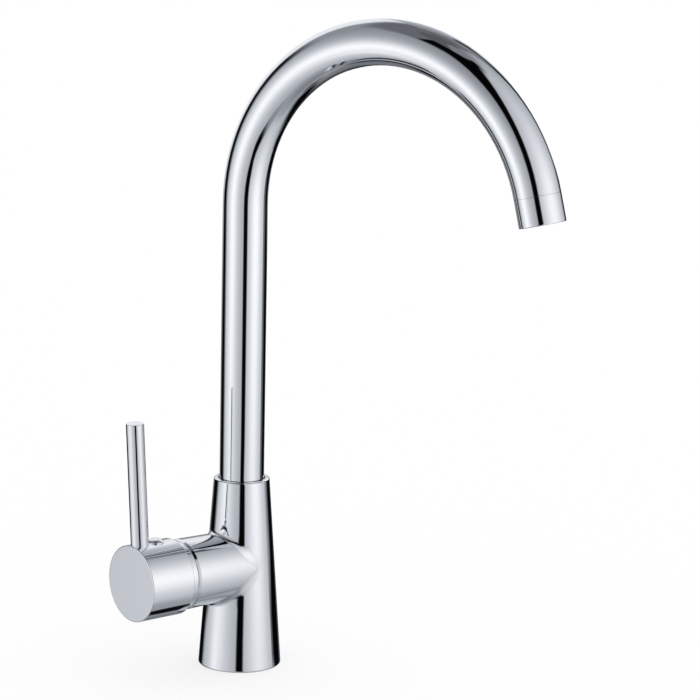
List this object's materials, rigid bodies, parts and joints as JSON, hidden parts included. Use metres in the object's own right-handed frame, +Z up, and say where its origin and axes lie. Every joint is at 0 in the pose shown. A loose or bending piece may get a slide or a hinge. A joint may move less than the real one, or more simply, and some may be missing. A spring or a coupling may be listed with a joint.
{
  "type": "kitchen mixer tap",
  "caption": "Chrome single-lever kitchen mixer with a tall swivelling swan-neck spout, a conical body with a side lever hub, and a separate filtered water tube in the spout.",
  "frame": {"origin": "centre of the base's underside, on the worktop", "axes": "+Z up along the body and the spout's swivel; +X the way the spout points at rest; the lever arm points 105.2 degrees clockwise from +X seen from above"},
  "size_m": [0.2743, 0.114, 0.4163],
  "materials": {
    "polished_chrome": "mirror-polished chrome plate",
    "bare_brass": "machined",
    "black_rubber": "matt",
    "grey_acetal": "satin moulded",
    "cartridge_plastic": "moulded",
    "white_ceramic": "lapped",
    "white_tube": "extruded",
    "aerator_plastic": "moulded",
    "plain_steel": "plain"
  },
  "bodies": {
    "tap": {"tap_body": "polished_chrome", "base_seal_ring": "black_rubber", "lower_glide_ring": "grey_acetal", "upper_glide_bush": "grey_acetal", "spout_locking_screw": "plain_steel", "cartridge_seals": "black_rubber", "cartridge_base": "cartridge_plastic", "fixed_ceramic_disc": "white_ceramic", "cartridge_housing": "cartridge_plastic", "cartridge_nut": "bare_brass", "dome_cover": "polished_chrome"},
    "spout": {"swivel_connector": "bare_brass", "connector_o_rings": "black_rubber", "filtered_stub_o_ring": "black_rubber", "spout_tube": "polished_chrome", "filtered_water_tube": "white_tube", "outlet_ferrule": "polished_chrome", "aerator_washer": "black_rubber", "aerator_housing": "aerator_plastic", "aerator_insert": "aerator_plastic", "filtered_outlet_nozzle": "aerator_plastic"},
    "cartridge_rotor": {"stem_carrier": "cartridge_plastic", "pivot_pin": "plain_steel"},
    "cartridge_slider": {"moving_ceramic_disc": "white_ceramic", "disc_coupling": "cartridge_plastic"},
    "lever": {"cartridge_stem": "bare_brass", "handle_hub": "polished_chrome", "lever_rod": "polished_chrome", "hub_grub_screw": "plain_steel", "screw_cap": "polished_chrome"}
  },
  "joints": [
    {"name": "spout_swivel", "type": "hinge", "parent": "tap", "child": "spout", "pos_m": [0, 0, 0.1], "axis": [0, 0, 1], "continuous": true},
    {"name": "lever_turn", "type": "hinge", "parent": "tap", "child": "cartridge_rotor", "pos_m": [0, 0, 0.0649], "axis": [-0.2622, -0.965, 0], "range_deg": [-50, 50]},
    {"name": "lever_lift", "type": "hinge", "parent": "cartridge_rotor", "child": "lever", "pos_m": [-0.01017, -0.03744, 0.0649], "axis": [0.965, -0.2622, 0], "range_deg": [0, 25]},
    {"name": "disc_slide", "type": "slide", "parent": "cartridge_rotor", "child": "cartridge_slider", "axis": [0, 0, 1], "range_m": [0, 0.0045]}
  ],
  "couplings": [
    {"joint": "disc_slide", "follows": "lever_lift", "m_per_rad": 0.0103}
  ]
}
